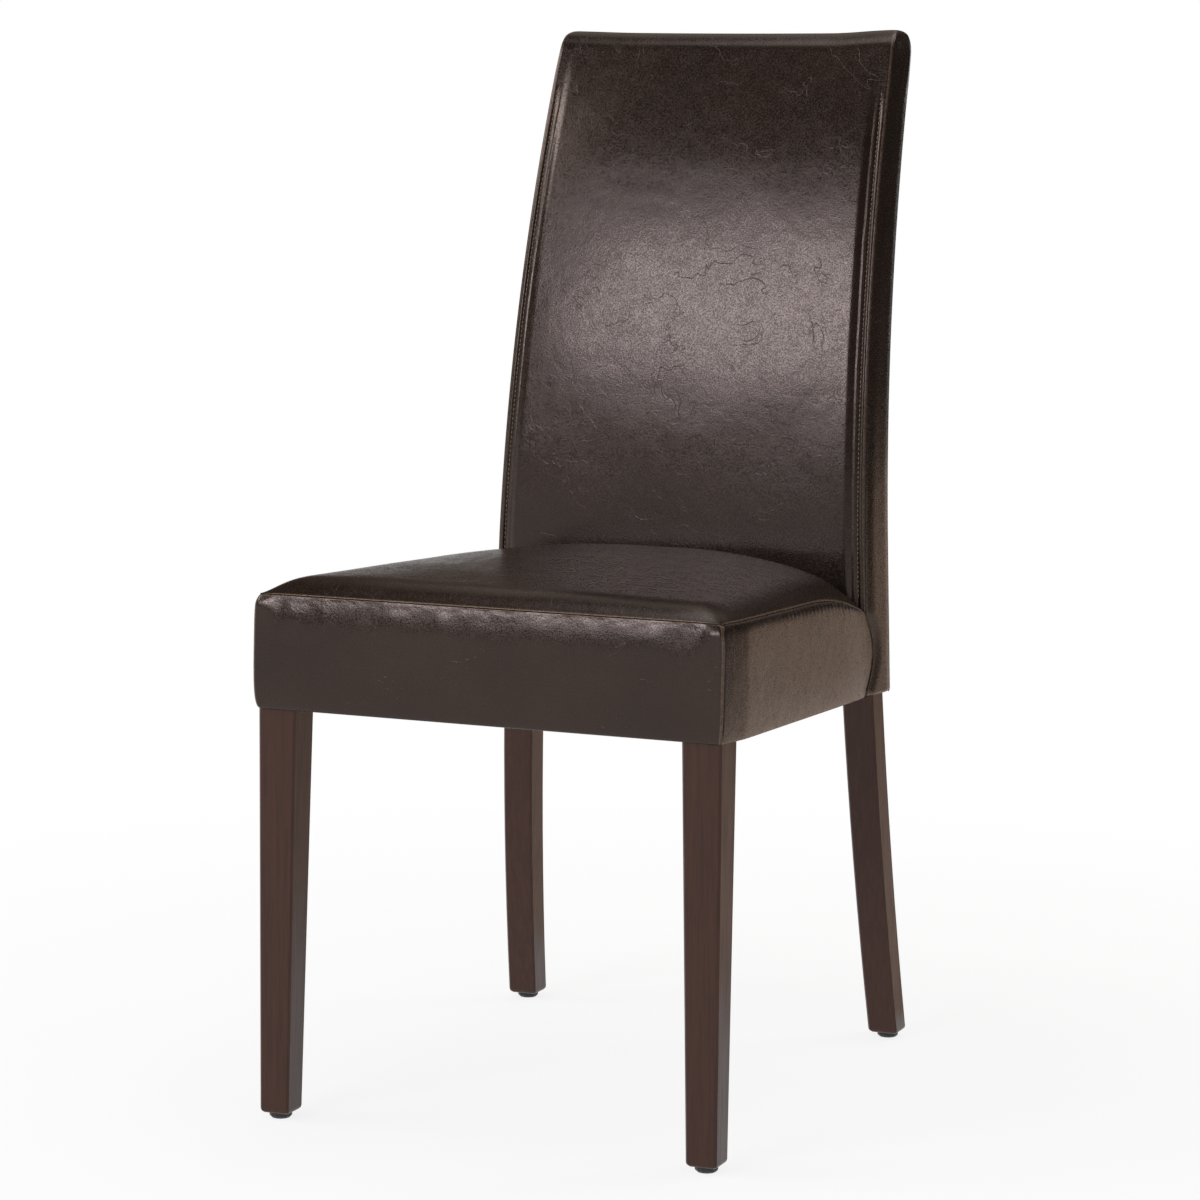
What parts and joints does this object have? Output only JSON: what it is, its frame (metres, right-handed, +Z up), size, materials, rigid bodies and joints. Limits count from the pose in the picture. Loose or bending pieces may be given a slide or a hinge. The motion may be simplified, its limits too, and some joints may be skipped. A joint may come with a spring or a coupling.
{
  "type": "parsons chair",
  "caption": "Armless upholstered dining chair with a tall raked back, a crowned seat in dark glossy leather and tapered dark wood legs.",
  "frame": {"origin": "on the floor, under the middle of the chair's outer box", "axes": "+Z up, +Y from the front of the seat to the back, +X to the right as seen from in front of the chair"},
  "size_m": [0.4626, 0.628, 1],
  "materials": {
    "stained_wood": "espresso stain under a satin lacquer, with fine close grain",
    "raw_wood": "planed, unfinished",
    "leather": "very dark brown coated leather, glossy, with fine creased grain",
    "foam": "open-cell foam, pale yellow",
    "wadding": "polyester fibre wadding",
    "webbing": "woven elastic webbing",
    "black_cloth": "thin black non-woven cloth",
    "nylon": "black moulded nylon",
    "steel": "zinc plated, yellow passivated"
  },
  "bodies": {
    "root": {"front_leg_left": "stained_wood", "rear_post_left": "stained_wood", "front_leg_right": "stained_wood", "rear_post_right": "stained_wood", "side_rail_left": "raw_wood", "side_rail_right": "raw_wood", "front_rail": "raw_wood", "rear_rail": "raw_wood", "back_lower_rail": "raw_wood", "back_middle_rail": "raw_wood", "crest_rail": "raw_wood", "corner_block_front_left": "raw_wood", "corner_block_front_right": "raw_wood", "corner_block_rear_left": "raw_wood", "corner_block_rear_right": "raw_wood", "corner_screw_front_left_1": "steel", "corner_screw_front_left_2": "steel", "corner_screw_front_right_1": "steel", "corner_screw_front_right_2": "steel", "corner_screw_rear_left_1": "steel", "corner_screw_rear_left_2": "steel", "corner_screw_rear_right_1": "steel", "corner_screw_rear_right_2": "steel", "glide_front_left": "nylon", "glide_front_right": "nylon", "glide_rear_left": "nylon", "glide_rear_right": "nylon", "seat_webbing_long_left": "webbing", "seat_webbing_long_middle": "webbing", "seat_webbing_long_right": "webbing", "seat_webbing_cross_front": "webbing", "seat_webbing_cross_centre": "webbing", "seat_webbing_cross_rear": "webbing", "back_webbing_left": "webbing", "back_webbing_middle": "webbing", "back_webbing_right": "webbing", "seat_foam": "foam", "edge_padding_front": "foam", "edge_padding_left": "foam", "edge_padding_right": "foam", "back_front_foam": "foam", "back_top_padding": "foam", "seat_wadding": "wadding", "back_rear_padding": "wadding", "seat_top_panel": "leather", "seat_front_band": "leather", "seat_side_band_left": "leather", "seat_side_band_right": "leather", "back_front_panel": "leather", "back_rear_panel": "leather", "back_side_panel_left": "leather", "back_side_panel_right": "leather", "dust_cover": "black_cloth"}
  },
  "joints": []
}
